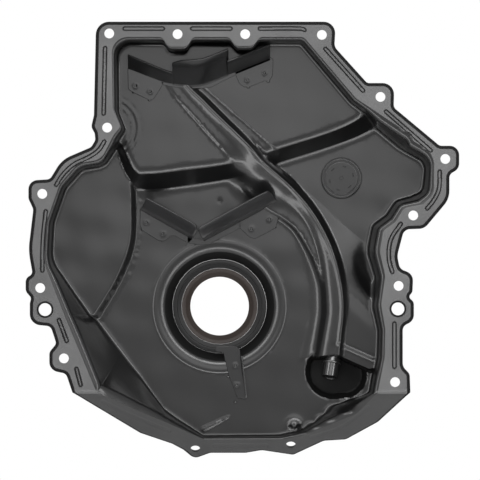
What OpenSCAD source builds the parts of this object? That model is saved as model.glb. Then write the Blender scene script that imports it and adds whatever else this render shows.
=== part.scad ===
/* [Sheet] */
// Thickness of the pressed steel sheet
sheet_t = 1.8; // [1.5:0.1:2]

/* [Sealing flange] */
// Diameter of the holes for the flange bolts
bolt_hole_d = 7; // [6.4:0.1:8]
// Diameter of the two locating holes
dowel_hole_d = 9.2; // [8:0.1:10]
// Wall of the raised collar round a locating hole
dowel_collar_wall = 1.1; // [0.8:0.1:1.4]
// Height of the collar above the flange face
dowel_collar_h = 0.8; // [0.4:0.1:1.5]
// How far the outer edge is turned back, measured from the flange face
lip_h = 4.5; // [3:0.1:6]
// Radius of the rounded outer edge
edge_r = 2.4; // [1.9:0.1:2.6]
// Width of the sealant grooves
bead_w = 2.7; // [2:0.1:3]
// Depth of the sealant grooves
bead_depth = 0.7; // [0.4:0.1:1]

/* [Sump flange] */
// Angle by which the lower flange is folded away from the main flange
sump_angle = 48; // [44:1:50]

/* [Pan] */
// Depth of the two upper floors below the flange face
upper_depth = 34; // [31:0.5:36]
// Depth of the side pocket
pocket_depth = 43; // [40:0.5:45]
// Depth of the main floor
main_depth = 48; // [47:0.5:51]
// Depth of the round bowl, measured from the main floor
bowl_drop = 9; // [6:0.5:11]
// Rounding between flange and wall, and between wall and floor
wall_r = 4; // [3:0.1:5]

/* [Dipstick groove] */
// Height of the pressed-in groove's crest above the main floor
ridge_h = 12; // [10:0.5:13]

/* [Crankshaft seal] */
// Outer diameter of the seal and inner diameter of its seat
seal_od = 68; // [66:0.5:69]
// Diameter of the sealing lip
lip_d = 42.4; // [40:0.2:44]
// Axial width of the seal
seal_w = 9; // [8:0.5:10]
// Depth of the seal's inner face below the main floor
seal_recess = 9; // [8:0.5:10]
// Diameter of the rounded rim of the seal well
well_d = 88; // [86:0.5:90]

/* [Oil baffles] */
// Thickness of the baffle sheet
baffle_t = 1.2; // [1:0.1:1.5]
// Height of the upper baffle above its floor
upper_baffle_h = 24; // [20:0.5:26]
// Height of the lower baffle above its floor
lower_baffle_h = 20; // [16:0.5:22]

/* [Inspection plug] */
// Diameter of the plug's inner face
plug_d = 30; // [28:0.5:31]
// How far the plug stands out at the back
plug_h = 5; // [4:0.5:7]

/* [Guide tube] */
// Outer diameter of the dipstick guide tube
tube_d = 12; // [11:0.5:13]
// Wall of the guide tube
tube_wall = 1; // [0.8:0.1:1.5]
// Length of the guide tube
tube_len = 22; // [20:0.5:24]

/* [Hidden] */

// Everything is drawn on the flange face: x to the right, y up, z towards the engine,
// with x and y measured from the crankshaft axis. placed() turns the drawing upright.
black = [0.10, 0.10, 0.11];
gap = 0.1;        // clearance between pieces that are pressed or welded together
cut = 1;          // how far a cutting shape passes a face
fold_y = -61.5;   // line where the sump flange folds away
pan_centre = [20, 60];
arc_steps = 2;    // points on each rounded corner, less one
seal_seat_r = seal_od / 2;

// Flange bolt holes on the main face, clockwise from the upper left corner
bolt_holes = [[-79, 196], [-30, 195.5], [18.5, 195.5], [73.5, 195], [115.5, 150.5], [162, 106],
    [139, 65.5], [128.5, 15], [126, -54], [-111.5, -37], [-128.5, 13.5], [-127, 81], [-80.5, 128.5]];
// Bolt holes of the sump flange, where they are seen from the front
sump_holes = [[51.5, -100], [-17.5, -103]];
// Locating holes
dowel_holes = [[128, -1.5], [-125, -2]];
plug_at = [88, 92.5];

// Seal case: inner radius, radius and depth of the step in its face, and thickness
case_inner_r = seal_seat_r - 6.5;
case_step_r = seal_seat_r - 3.6;
case_step = 0.6;
case_t = 2.4;
lip_taper = 4;    // depth of the lip's cone in front of its running land
lip_land = 2;     // axial length of that land
lip_top = main_depth + seal_recess + case_step;
lip_mid = lip_top + lip_taper + lip_land / 2;
// Spot welds pressed into the baffles' tabs
spot_d = 2.4;
spot_depth = 0.5;
tab_lip_h = 5;    // height of the drip tab's turned-up edge
// Inspection plug: wall, back flange, ring groove and raised marks
plug_wall = 1.4;
plug_flange = 2.5;
plug_groove = 0.5;
plug_mark_h = 0.3;
// Guide tube: where its axis meets the groove's end wall, lean away from the engine, slant to the side, length above the wall, and collar
tube_at = [82, -36];
tube_lean = 106;
tube_slant = 9;
tube_in = 6;
collar_w = 1.4;
collar_drop = 5;

// Outer outline: x, y and corner radius, clockwise from the upper left corner
rim = [[-88.5, 204.5, 9.5], [83.5, 204.5, 9.5], [82.5, 186.5, 6.5], [106, 160.5, 3.5], [125.5, 160.5, 10],
    [125, 143, 4.5], [158, 115.5, 4.5], [172, 115.5, 10], [172, 99, 7], [165, 95, 4.5],
    [165, 77.5, 16], [147, 56, 8.5], [132.5, 55.5, 5.5], [127.5, 36.5, 14], [129.5, 27.2, 5.5],
    [139, 23.5, 7], [138.5, 10.5, 4.5], [135.5, 7, 3.5], [139.5, 3.5, 4.5], [139.5, -10, 8],
    [131.5, -14, 5], [131.5, -43, 7], [136.5, -48, 5], [137, fold_y, 0], [114.5, -83, 11],
    [91.5, -96, 7], [75.5, -97, 7], [53.5, -107.5, 5.5], [30.5, -104, 11], [19, -106, 7],
    [-6.5, -106, 5.5], [-18.5, -110.4, 7], [-26.5, -103.6, 5.5], [-34.5, -99.2, 7], [-57.5, -91.2, 11],
    [-105.5, fold_y, 0], [-110, -48, 4.5], [-122, -45.5, 8.5], [-122, -32.5, 5.5], [-117, -26.5, 3.5],
    [-121, -14, 4.5], [-136, -12.5, 10], [-136, 2.5, 5.5], [-135, 6.5, 3], [-139, 11, 5.5],
    [-139, 20.5, 5.5], [-134, 23.5, 3.5], [-137, 40.5, 43], [-133.5, 70, 5.5], [-137, 77.5, 5.5],
    [-137, 90.5, 8.5], [-121.5, 91.5, 4.5], [-113, 105.5, 21.5], [-92, 114.5, 5.5], [-89, 119.5, 4.5],
    [-89.5, 124.5, 3.5], [-92, 129, 5.5], [-90, 137.5, 7]];

// Mouth of the pan, where the flange rolls over into the wall
mouth = [[-77.5, 193.5, 11.5], [-41, 193.5, 4.5], [-37, 186.5, 5.5], [-23, 186.5, 5.5], [-19, 193.5, 4.5],
    [7, 193.5, 4.5], [11.5, 187, 5.5], [24, 187, 5.5], [29, 193.5, 4.5], [60.5, 193.5, 5],
    [98, 149.5, 7], [137, 123.5, 3.5], [139, 119, 4.5], [154, 109.5, 14.5], [154, 81, 11.5],
    [146, 73.5, 4.5], [132.5, 71, 7], [126.5, 61, 5.5], [117.5, 54.5, 5.5], [115, 39.5, 16],
    [119, 22, 10], [116, 1.5, 14.5], [119, -16.5, 14.5], [118.5, -36.5, 14.5], [113.5, fold_y, 2],
    [98.5, -77, 7], [62, -92.5, 7], [46.5, -96, 5.5], [-11, -96, 7], [-37, -84, 7],
    [-57, -75.5, 7], [-88, fold_y, 2], [-111, -6.5, 14.5], [-126, 32, 28.5], [-124, 61, 21.5],
    [-114.5, 88, 14.5], [-101.5, 103, 11], [-85, 105.5, 11], [-76, 123, 4.5], [-71, 129, 3],
    [-76.5, 142, 5.5]];

// Foot of the wall on the main floor, corner for corner with the mouth
foot = [[-68.5, 184.5, 8.5], [-38.5, 184, 3.5], [-34.5, 178.5, 4.5], [-25.5, 178.5, 4.5], [-21.5, 184, 3.5],
    [9, 184, 3.5], [14, 179, 4.5], [22, 179, 4.5], [27, 184, 3.5], [56.5, 184, 4.5],
    [90.5, 143, 7], [127, 112.5, 7], [131, 110, 7], [146.5, 101.5, 7], [143.5, 83.5, 5.5],
    [136, 81, 5.5], [125, 78, 7], [118, 67.5, 5.5], [108, 60, 7], [103.5, 39.5, 21.5],
    [110, 20, 14.5], [106, -1.5, 14.5], [110, -18, 14.5], [109.5, -38, 11], [105, -64, 5.5],
    [79, -70.5, 5.5], [59, -87, 5.5], [41.5, -91.5, 4.5], [-12, -92.5, 3.5], [-41.5, -71, 7],
    [-57.5, -47.5, 14.5], [-69, -31, 14.5], [-89, -5, 7], [-117.5, 32, 28.5], [-116.5, 59.5, 21.5],
    [-108.5, 82.5, 14.5], [-97, 95, 8.5], [-81.5, 98, 8.5], [-68.5, 115.5, 5.5], [-64, 124.5, 5.5],
    [-68.5, 137, 7]];

// Edge of the upper floors and the foot of the slope that leads down from them
step_top = [[-62, 95], [-28, 99], [7.5, 103], [41, 113], [100.5, 135], [120, 168]];
step_foot = [[-62, 86.5], [-28, 87], [17, 94.5], [42, 103.5], [109, 128], [130, 160]];
step_side_top = [[-79, 260], [-76, 135], [-71, 114]];
step_side_foot = [[-73, 260], [-72, 135], [-67, 110]];
// Edge of the side pocket's floor and of the main floor beside it
pocket_edge = [[-70, 160], [-65.5, 94.5], [-64.5, 75], [-64.5, 53.5], [-67, 40], [-72.5, 26], [-80, 11.5], [-100, -20]];
pocket_foot = [[-62, 160], [-60, 94.5], [-59.5, 75], [-59.5, 53.5], [-62, 38.5], [-67.5, 24], [-75, 9.5], [-95, -24]];

// Sealant grooves of the main face
beads = [
    [[-68, 199.5], [-40.5, 199.5]],
    [[-19.5, 199.5], [8, 199.5]],
    [[29, 199.5], [56.5, 199.5], [61, 198.5]],
    [[-82, 185.5], [-83, 138.5]],
    [[-82.5, 118.5], [-87, 112], [-94.5, 107], [-104.5, 102], [-112, 95], [-117, 87.5]],
    [[-124.5, 68.5], [-126.5, 48], [-127, 26]],
    [[-115, -9.5], [-109.5, -24.5]],
    [[-102.5, -44.5], [-99.5, -56]],
    [[76, 185], [103, 155]],
    [[119.5, 140], [151.5, 112]],
    [[158, 97], [157.5, 85], [154, 77], [149, 70.5]],
    [[130, 59.5], [123.5, 49.5], [121.5, 40.5], [122, 32], [124, 25]],
    [[125.5, -12], [125.5, -43]]];
// Sealant grooves of the sump flange, as seen from the front
sump_beads = [
    [[-84, -68], [-60, -79.5], [-36, -89.5]],
    [[-4, -100.5], [34, -100.5]],
    [[66, -94.5], [88, -86.5], [107, -72]]];

// Dipstick groove: crest x, y, drop of the crest, run to the left and right, drop on the right,
// and whether the drop is measured from the upper floor (1) or from the groove's full height (0)
ridge = [
    [-20.5, 156, 2.5, 6, 6, 1, 1],
    [-13, 149, -1.5, 10, 8, 0.5, 1],
    [-1, 137, -3, 13, 9, 0, 1],
    [21, 115.5, -2, 16, 11, 0, 1],
    [32, 103, 0, 14, 8, 4, 0.5],
    [48.5, 88.5, 1.5, 14, 9, 14, 0],
    [60, 76.5, 2, 17, 11, 14, 0],
    [69.5, 63.5, 2, 18, 14, 13, 0],
    [78, 47.5, 2, 20, 20, 9, 0],
    [83.5, 32.5, 2, 21, 26, 5, 0],
    [87, 17, 2, 22, 32, 3, 0],
    [88.5, 5, 2, 23, 32, 2.5, 0],
    [88.5, -7, 2, 23, 32, 2.5, 0],
    [87, -20, 2, 24, 32, 2.5, 0],
    [85.5, -32, 2, 27, 32, 2.5, 0]];
bowl_centres = [[82, -47], [90, -50]];
bowl_r = [19.5, 16];

// Unit vector
function unit(v) = v / norm(v);
// Point in a list that closes on itself
function ring(list, i) = list[(i + len(list)) % len(list)];
// Points of one rounded corner p between its neighbours a and b
function corner(a, p, b, r) =
    let (u = unit(a - p), v = unit(b - p),
         half = acos(max(-1, min(1, u * v))) / 2,
         d = min(r / tan(half), 0.48 * norm(a - p), 0.48 * norm(b - p)),
         w = sin(half))
    r == 0 ? [p] :
    [for (k = [0:arc_steps])
        let (t = k / arc_steps, wa = (1 - t) * (1 - t), wp = 2 * w * t * (1 - t), wb = t * t)
        (wa * (p + u * d) + wp * p + wb * (p + v * d)) / (wa + wp + wb)];
function flat(p) = [p[0], p[1]];
// Outline with rounded corners
function rounded(c) = [for (i = [0:len(c) - 1])
    each corner(flat(ring(c, i - 1)), flat(c[i]), flat(ring(c, i + 1)), c[i][2])];
// Direction that points out of a clockwise outline at point i
function outward(pts, i) = let (d = unit(ring(pts, i + 1) - ring(pts, i - 1))) [-d[1], d[0]];
function grown(pts, g) = [for (i = [0:len(pts) - 1]) pts[i] + g * outward(pts, i)];
// Turns the drawing upright: x right, y up as +Z, and the engine side towards -Y.
// The crankshaft axis crosses the middle of the seal's running land at the origin.
module placed() {
    translate([0, -lip_mid, 0]) rotate([90, 0, 0]) children();
}

// Height of the flange face at y
function face_z(y) = min(0, (y - fold_y) * tan(sump_angle));
// Outline of the sump flange laid flat, with its fold line at 0
function unfolded(pts) = [for (p = pts) [p[0], (p[1] - fold_y) / cos(sump_angle)]];

rim_line = rounded(rim);
mouth_line = rounded(mouth);
foot_line = rounded(foot);

// Share of the way from mouth to foot, and share of the depth, along the wall for a run of given length
function wall_profile(run, depth) =
    let (a = min(0.45, 0.8 * wall_r / run), b = min(0.3, wall_r / depth))
    [[0, 0], [0.6 * a, 0.2 * b], [a, b], [1 - a, 1 - b], [1 - 0.6 * a, 1 - 0.2 * b], [1, 1]];
wall_rings = 6;

// Solid between outlines of equal point counts, from the top one down
module loft(rings, centre) {
    n = len(rings[0]);
    m = len(rings);
    points = concat([for (r = rings) each r],
        [[centre[0], centre[1], max([for (p = rings[0]) p[2]])],
         [centre[0], centre[1], min([for (p = rings[m - 1]) p[2]])]]);
    sides = [for (k = [0:m - 2], i = [0:n - 1])
        let (j = (i + 1) % n, a = k * n + i, b = k * n + j, c = (k + 1) * n + j, d = (k + 1) * n + i)
        each [[a, d, c], [a, c, b]]];
    caps = [for (i = [0:n - 1])
        let (j = (i + 1) % n)
        each [[n * m, i, j], [n * m + 1, (m - 1) * n + j, (m - 1) * n + i]]];
    polyhedron(points, concat(sides, caps), convexity = 10);
}

// The pan's hollow for g = 0, and the outside of its sheet for g = sheet_t
module pan_loft(g) {
    top = grown(mouth_line, g);
    low = grown(foot_line, g);
    runs = [for (i = [0:len(top) - 1]) norm(top[i] - low[i])];
    walls = [for (k = [0:wall_rings - 1])
        [for (i = [0:len(top) - 1])
            let (z0 = face_z(top[i][1]) + (g > 0 ? -g : gap / 2), z1 = -main_depth - g,
                 s = wall_profile(runs[i], z0 - z1)[k],
                 p = top[i] + (low[i] - top[i]) * s[0])
            [p[0], p[1], z0 + (z1 - z0) * s[1]]]];
    above = [for (i = [0:len(top) - 1]) [top[i][0], top[i][1], g > 0 ? face_z(top[i][1]) - g / 2 : 2 * cut]];
    loft(concat([above], walls), pan_centre);
}

// Raised floor with sloping sides, moved back by the sheet for the outer surface
module raised_floor(edge, base, depth, g, shift) {
    bottom = -main_depth - 4 * sheet_t;
    slope = (main_depth + 4 * sheet_t - depth) / (main_depth - depth);
    translate([shift[0] * g, shift[1] * g, -g])
        hull() {
            translate([0, 0, -depth - 0.01]) linear_extrude(0.01) polygon(edge);
            translate([0, 0, bottom])
                linear_extrude(0.01)
                    polygon([for (i = [0:len(edge) - 1]) edge[i] + (base[i] - edge[i]) * slope]);
        }
}

module upper_floors(g) {
    edge = concat(step_side_top, step_top, [[120, 260]]);
    base = concat(step_side_foot, step_foot, [[130, 260]]);
    raised_floor(edge, base, upper_depth, g, [0.2, 0.65]);
}

module pocket_floor(g) {
    far = [[-160, -20], [-160, 160]];
    raised_floor(concat(pocket_edge, far), concat(pocket_foot, far), pocket_depth, g, [-0.6, 0]);
}

// The dipstick groove, pressed in from the back
module ridge_body(g) {
    n = len(ridge);
    bottom = -main_depth - bowl_drop - 3 * sheet_t;
    sections = [for (i = [0:n - 1])
        let (s = ridge[i],
             crest_z = (1 - s[6]) * (ridge_h - main_depth) - s[6] * upper_depth,
             d = unit(flat(ridge[min(n - 1, i + 1)]) - flat(ridge[max(0, i - 1)])),
             p = flat(s) - d * (i == n - 1 ? g : 0),
             side = [-d[1], d[0]],
             left = p - side * (s[3] - 0.8 * g), right = p + side * s[4],
             shoulder = p - side * (0.5 * s[3] - 0.5 * g),
             zc = crest_z - s[2] - g, zf = min(-main_depth + 0.1, zc - 1) - g, zr = crest_z - s[2] - s[5] - g)
        [[left[0], left[1], bottom], [left[0], left[1], zf],
         [shoulder[0], shoulder[1], zf + 0.72 * (zc - zf)],
         [p[0] - side[0] * 1.5, p[1] - side[1] * 1.5, zc], [p[0] + side[0] * 1.5, p[1] + side[1] * 1.5, zc],
         [right[0], right[1], zr], [right[0], right[1], bottom]]];
    m = len(sections[0]);
    sides = [for (k = [0:n - 2], i = [0:m - 1])
        let (j = (i + 1) % m, a = k * m + i, b = k * m + j, c = (k + 1) * m + j, d = (k + 1) * m + i)
        each [[a, b, c], [a, c, d]]];
    first = [for (i = [1:m - 2]) [0, i + 1, i]];
    last = [for (i = [1:m - 2]) [(n - 1) * m, (n - 1) * m + i, (n - 1) * m + i + 1]];
    polyhedron([for (s = sections) each s], concat(sides, first, last), convexity = 6);
}

module bowl(g) {
    for (i = [0:1])
        translate([bowl_centres[i][0], bowl_centres[i][1], -main_depth - bowl_drop - g])
            cylinder(h = bowl_drop + cut, r1 = bowl_r[i] - 3 + g, r2 = bowl_r[i] + g, $fn = 48);
}

module pan_form(g) {
    difference() {
        union() {
            pan_loft(g);
            bowl(g);
        }
        upper_floors(g);
        pocket_floor(g);
        ridge_body(g);
    }
}

// Groove of constant width with round ends along a path
function groove_line(path, w) =
    let (n = len(path),
         dirs = [for (i = [0:n - 1]) unit(path[min(n - 1, i + 1)] - path[max(0, i - 1)])],
         start = atan2(dirs[0][1], dirs[0][0]), stop = atan2(dirs[n - 1][1], dirs[n - 1][0]))
    concat([for (i = [0:n - 1]) path[i] + w / 2 * [-dirs[i][1], dirs[i][0]]],
        [for (a = [60, 0, -60]) path[n - 1] + w / 2 * [cos(stop + a), sin(stop + a)]],
        [for (i = [n - 1:-1:0]) path[i] - w / 2 * [-dirs[i][1], dirs[i][0]]],
        [for (a = [-120, 180, 120]) path[0] + w / 2 * [cos(start + a), sin(start + a)]]);

// Flat flange with a rounded, turned-back edge, kept on one side of the fold
module flange_plate(outline, grooves, side) {
    reach = 500;
    layers = [[0, 0.9], [-0.3, 0.25], [-1, 0], [-lip_h / edge_r, 0]];
    centre = [pan_centre[0], pan_centre[1] - fold_y];
    intersection() {
        difference() {
            loft([for (s = layers)
                let (pts = grown(outline, -s[1] * edge_r))
                [for (p = pts) [p[0], p[1], s[0] * edge_r]]], centre);
            translate([0, 0, -lip_h - cut])
                linear_extrude(lip_h - sheet_t + cut) polygon(grown(outline, -sheet_t));
            translate([0, 0, -bead_depth])
                for (path = grooves) linear_extrude(bead_depth + cut) polygon(groove_line(path, bead_w));
        }
        translate([-reach / 2, side > 0 ? 0 : -reach, -reach / 2]) cube(reach);
    }
}

module flanges() {
    translate([0, fold_y, 0]) {
        flange_plate([for (p = rim_line) [p[0], p[1] - fold_y]],
            [for (b = beads) [for (p = b) [p[0], p[1] - fold_y]]], 1);
        rotate([sump_angle, 0, 0])
            flange_plate(unfolded(rim_line), [for (b = sump_beads) unfolded(b)], -1);
    }
}

// Profile of the seal well: rounded rim, tapered wall and cylindrical seat, r and z
function well_profile(g) =
    let (rim_r = well_d / 2, fillet = 4.6, seat_z = -main_depth - seal_recess)
    [[0, -main_depth + cut - g], [rim_r, -main_depth + cut - g],
     for (a = [90:15:180]) [rim_r + (fillet - g) * cos(a), -main_depth - fillet + (fillet - g) * sin(a)],
     [seal_seat_r + 0.8 + g, seat_z + 1], [seal_seat_r + g, seat_z], [seal_seat_r + g, seat_z - seal_w - (g > 0 ? 0 : cut)],
     [0, seat_z - seal_w - (g > 0 ? 0 : cut)]];

module seal_well(g) {
    rotate_extrude($fn = 96) polygon(well_profile(g));
}

module bolt_hole(d) {
    translate([0, 0, -lip_h - cut]) cylinder(h = lip_h + 2 * cut, d = d, $fn = 48);
}

module on_sump_flange(p) {
    translate([p[0], p[1], face_z(p[1])]) rotate([sump_angle, 0, 0]) children();
}

// Places a shape on the guide tube's axis, where it passes the groove's end wall
module on_tube_axis() {
    translate([tube_at[0], tube_at[1], 1 - main_depth]) rotate([-tube_lean, 0, 0]) rotate([0, tube_slant, 0]) children();
}

module cover_shell() {
    color(black) placed()
        difference() {
            union() {
                flanges();
                pan_form(sheet_t);
                seal_well(sheet_t);
                for (p = dowel_holes)
                    translate([p[0], p[1], -sheet_t])
                        cylinder(h = sheet_t + dowel_collar_h, d = dowel_hole_d + 2 * dowel_collar_wall, $fn = 48);
            }
            pan_form(0);
            seal_well(0);
            for (p = bolt_holes) translate([p[0], p[1], 0]) bolt_hole(bolt_hole_d);
            for (p = sump_holes) on_sump_flange(p) bolt_hole(bolt_hole_d);
            for (p = dowel_holes) translate([p[0], p[1], 0]) bolt_hole(dowel_hole_d);
            translate([plug_at[0], plug_at[1], -main_depth - sheet_t - cut])
                cylinder(h = sheet_t + 2 * cut, d = plug_d + 2 * gap, $fn = 48);
            on_tube_axis()
                translate([0, 0, tube_in - tube_len]) cylinder(h = tube_len + tube_d, d = tube_d + 2 * gap, $fn = 48);
        }
}

// Metal case of the crankshaft seal, an L-shaped ring
module seal_case() {
    face_z = -main_depth - seal_recess;
    back_z = face_z - seal_w;
    color(black) placed() rotate_extrude($fn = 96)
        polygon([[case_inner_r, face_z - case_step], [case_step_r, face_z - case_step], [case_step_r, face_z],
            [seal_seat_r - gap, face_z], [seal_seat_r - gap, back_z], [seal_seat_r - case_t, back_z],
            [seal_seat_r - case_t, face_z - case_t], [case_inner_r, face_z - case_t]]);
}

// Flexible lip of the seal, with a short land that runs on the crankshaft
module seal_lip() {
    top_z = -lip_top;
    outer_r = case_inner_r - gap;
    lip_r = lip_d / 2;
    width = outer_r - lip_r;
    color([0.16, 0.12, 0.10]) placed() rotate_extrude($fn = 96)
        polygon([[outer_r, top_z - 0.3], [outer_r - 0.32 * width, top_z - 0.9], [lip_r, top_z - lip_taper],
            [lip_r, top_z - lip_taper - lip_land], [lip_r + 0.2 * width, top_z - lip_taper - lip_land - 1],
            [outer_r - 0.38 * width, top_z - 3.2], [outer_r, top_z - 2]]);
}

// Wall of bent sheet that stands on a floor and leans over.
// Each station is the foot's x and y and the height there, and lean is the sideways shift per height.
module leaning_wall(stations, floor_z, lean, t) {
    n = len(stations);
    rise = unit([lean[0], lean[1], 1]);
    across = unit(concat(flat(stations[n - 1]) - flat(stations[0]), 0));
    back = cross(across, rise) * -t;
    sections = [for (s = stations)
        let (low = [s[0], s[1], floor_z - min(0, back[2])], high = low + [lean[0], lean[1], 1] * s[2])
        [low, high, high + back, low + back]];
    sides = [for (k = [0:n - 2], i = [0:3])
        let (j = (i + 1) % 4, a = k * 4 + i, b = k * 4 + j, c = (k + 1) * 4 + j, d = (k + 1) * 4 + i)
        each [[a, b, c], [a, c, d]]];
    ends = [[0, 2, 1], [0, 3, 2], [4 * n - 4, 4 * n - 3, 4 * n - 2], [4 * n - 4, 4 * n - 2, 4 * n - 1]];
    polyhedron([for (s = sections) each s], concat(sides, ends), convexity = 4);
}

// Flat tab that lies on a floor, with its spot welds
module weld_tab(outline, spots, floor_z) {
    translate([0, 0, floor_z])
        difference() {
            linear_extrude(baffle_t) polygon(outline);
            for (s = spots) translate([s[0], s[1], baffle_t - spot_depth]) cylinder(h = cut, d = spot_d, $fn = 24);
        }
}

// Baffle across the upper floors, bent round the start of the dipstick groove
module upper_oil_baffle() {
    floor_z = -upper_depth;
    h = upper_baffle_h;
    color(black) placed() {
        leaning_wall([[-66, 172, 0.5 * h], [-41.5, 162.5, 0.46 * h], [-33, 160.6, 0.42 * h]], floor_z, [0, 0.73], baffle_t);
        leaning_wall([[-34, 160.8, 0.8 * h], [-27, 160, 0.95 * h], [-19.5, 159.5, h], [-10, 161, h], [6.5, 167.6, h]],
            floor_z, [0, 0.72], baffle_t);
        leaning_wall([[6, 167.4, 0.72 * h], [36.5, 179.5, 0.72 * h]], floor_z, [0, 0.5], baffle_t);
        weld_tab([[-66, 172.4], [-40, 162.3], [-44.5, 154.5], [-48, 149.5], [-50.5, 149], [-61.5, 154.2], [-65.5, 156.5]],
            [[-60.5, 159], [-50, 155]], floor_z);
        weld_tab([[-41, 163], [-33, 161], [-19, 160.2], [-10, 161.5], [36.5, 180], [36.5, 177.5], [11.5, 167.3],
                [-7, 158], [-20, 157.3], [-33, 158.4], [-42, 160.5]], [], floor_z);
        weld_tab([[11, 169.3], [36.5, 179.8], [38.5, 178], [38, 166.5], [35.5, 162.5], [32.5, 163], [21, 158.3],
                [17.5, 158.5], [14.5, 161]], [[32.5, 168.5], [20, 163.5]], floor_z);
    }
}

// Baffle above the crankshaft, two leaning walls on one base
module lower_oil_baffle() {
    floor_z = -main_depth;
    h = lower_baffle_h;
    color(black) placed() {
        leaning_wall([[-57, 70, 0.94 * h], [-24, 51.3, h], [-19.5, 48.8, 0.72 * h]], floor_z, [0.23, 0.42], baffle_t);
        leaning_wall([[-11.5, 47.3, 0.85 * h], [-7, 49.7, h], [36, 72.8, h], [41, 75.5, 0.7 * h]],
            floor_z, [-0.23, 0.42], baffle_t);
        weld_tab([[-57, 70.6], [-19, 49.2], [-22.5, 46], [-32.5, 51.3], [-35.5, 51.3], [-39, 48], [-41.5, 47.5],
                [-44.5, 48], [-55.5, 55], [-57.3, 58.8]], [[-53, 60.5], [-41, 52.5]], floor_z);
        weld_tab([[-23, 51.5], [-19, 49.2], [-12, 47.6], [15, 62], [15, 57], [-8, 45], [-16, 44.8], [-23, 46.2]],
            [], floor_z);
        weld_tab([[14.5, 61.8], [41, 76], [42, 62.5], [40.5, 57], [38, 55.5], [25.5, 49], [21.5, 50.5], [14.5, 57]],
            [[36, 63], [23, 56]], floor_z);
    }
}

// Strip under the seal that leads oil away, with a turned-up edge and a tongue over the seal
module oil_drip_tab() {
    color(black) placed() {
        weld_tab([[-3, -29.5], [12, -29.2], [14.5, -31.5], [15.7, -44], [19, -67], [13, -66], [7, -50], [4, -38],
                [3, -33], [-3, -32]], [[11.5, -43], [12.5, -57]], -main_depth);
        leaning_wall([[18.6, -66, 0.4 * tab_lip_h], [15, -36, tab_lip_h]], -main_depth, [0.1, 0], baffle_t);
    }
}

// Press-in plug, flush with the floor inside and flanged at the back
module inspection_plug() {
    r = plug_d / 2;
    back = -sheet_t;
    color(black) placed()
        translate([plug_at[0], plug_at[1], -main_depth]) {
            rotate_extrude($fn = 96)
                polygon([[0, 0], [0.82 * r, 0], [0.82 * r, -plug_groove], [0.87 * r, -plug_groove], [0.87 * r, 0],
                    [r, 0], [r, back], [r + plug_flange, back], [r + plug_flange, back - plug_wall],
                    [r - gap, back - plug_wall], [r - gap, back - plug_h], [r - plug_wall, back - plug_h],
                    [r - plug_wall, -plug_wall], [0, -plug_wall]]);
            cylinder(h = plug_mark_h, d = 1.6, $fn = 24);
            for (a = [15:60:345])
                rotate([0, 0, a]) translate([0.58 * r, 0, plug_mark_h / 2]) cube([0.7, 2.4, plug_mark_h], center = true);
        }
}

// Tube that guides the dipstick through the end of its groove
module dipstick_guide_tube() {
    color(black) placed()
        on_tube_axis()
            difference() {
                union() {
                    translate([0, 0, tube_in - tube_len]) cylinder(h = tube_len, d = tube_d, $fn = 64);
                    translate([0, 0, -collar_drop - collar_w])
                        cylinder(h = collar_w, d = tube_d + 2 * collar_w, $fn = 64);
                }
                translate([0, 0, tube_in - tube_len - cut])
                    cylinder(h = tube_len + 2 * cut, d = tube_d - 2 * tube_wall, $fn = 64);
            }
}

cover_shell();
seal_case();
seal_lip();
upper_oil_baffle();
lower_oil_baffle();
oil_drip_tab();
inspection_plug();
dipstick_guide_tube();
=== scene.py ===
import bpy, math
import numpy as np
from mathutils import Vector, Matrix, kdtree
from mathutils.geometry import delaunay_2d_cdt

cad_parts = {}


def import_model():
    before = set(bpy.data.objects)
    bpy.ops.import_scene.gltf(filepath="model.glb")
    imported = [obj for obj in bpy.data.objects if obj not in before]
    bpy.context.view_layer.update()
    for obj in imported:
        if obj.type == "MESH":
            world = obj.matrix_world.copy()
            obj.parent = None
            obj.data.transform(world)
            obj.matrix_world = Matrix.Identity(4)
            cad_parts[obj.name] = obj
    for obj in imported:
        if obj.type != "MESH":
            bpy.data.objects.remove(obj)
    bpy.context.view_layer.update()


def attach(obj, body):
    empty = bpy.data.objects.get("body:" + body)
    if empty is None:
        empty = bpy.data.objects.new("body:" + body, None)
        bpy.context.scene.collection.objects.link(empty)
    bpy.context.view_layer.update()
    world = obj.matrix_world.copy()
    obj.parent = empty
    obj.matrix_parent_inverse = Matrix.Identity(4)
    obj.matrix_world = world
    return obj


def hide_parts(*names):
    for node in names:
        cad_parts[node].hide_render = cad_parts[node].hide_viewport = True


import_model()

# Everything is written in millimetres on the flange face: x right, y up, z towards the viewer.
FACE_Y = -62.6            # the flange face in the shared frame
FOLD_Y = -61.5            # where the sump flange folds away
FOLD_R = 2.5              # half the width over which it bends
SUMP = math.radians(48)   # angle of the folded sump flange
MAIN, UPPER, POCKET, BOWL = -48.0, -34.0, -43.0, -57.0    # depths of the floors
SHEET = 1.8
EDGE_R, LIP_H = 2.4, 4.5                 # radius and height of the turned-back rim
MOUTH_ROUND, FOOT_ROUND = 4.4, 3.0       # radii where the wall meets the flange and the floor
WELL_R = 48.6                            # outer edge of the dish around the seal
BOLT_HOLE_R, DOWEL_HOLE_R, PLUG_HOLE_R = 3.5, 4.6, 15.15
COLLAR_R, COLLAR_H = 5.7, 0.8            # raised collars of the locating holes
GROOVE_R, GROOVE_DEPTH = 0.75, 1.05      # half the floor of the sealant grooves, and their depth
CREST_BEAD = 0.75                        # height of the rounded bead along the ridge's crest
PLATEAU_TOP, PLATEAU_SLOPE = 8.6, 0.25
COARSE, FINE, CELL, ROW = 2.1, 1.25, 1.6, 1.1     # mesh steps of the floor
SHARP = 42.0                             # degrees at which an edge is shaded sharp


def world(p):
    # millimetres on the flange face to metres in the shared frame
    p = np.asarray(p, float)
    return np.stack([p[..., 0], FACE_Y - p[..., 2], p[..., 1]], -1) / 1000


# ---------- materials ----------

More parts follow.
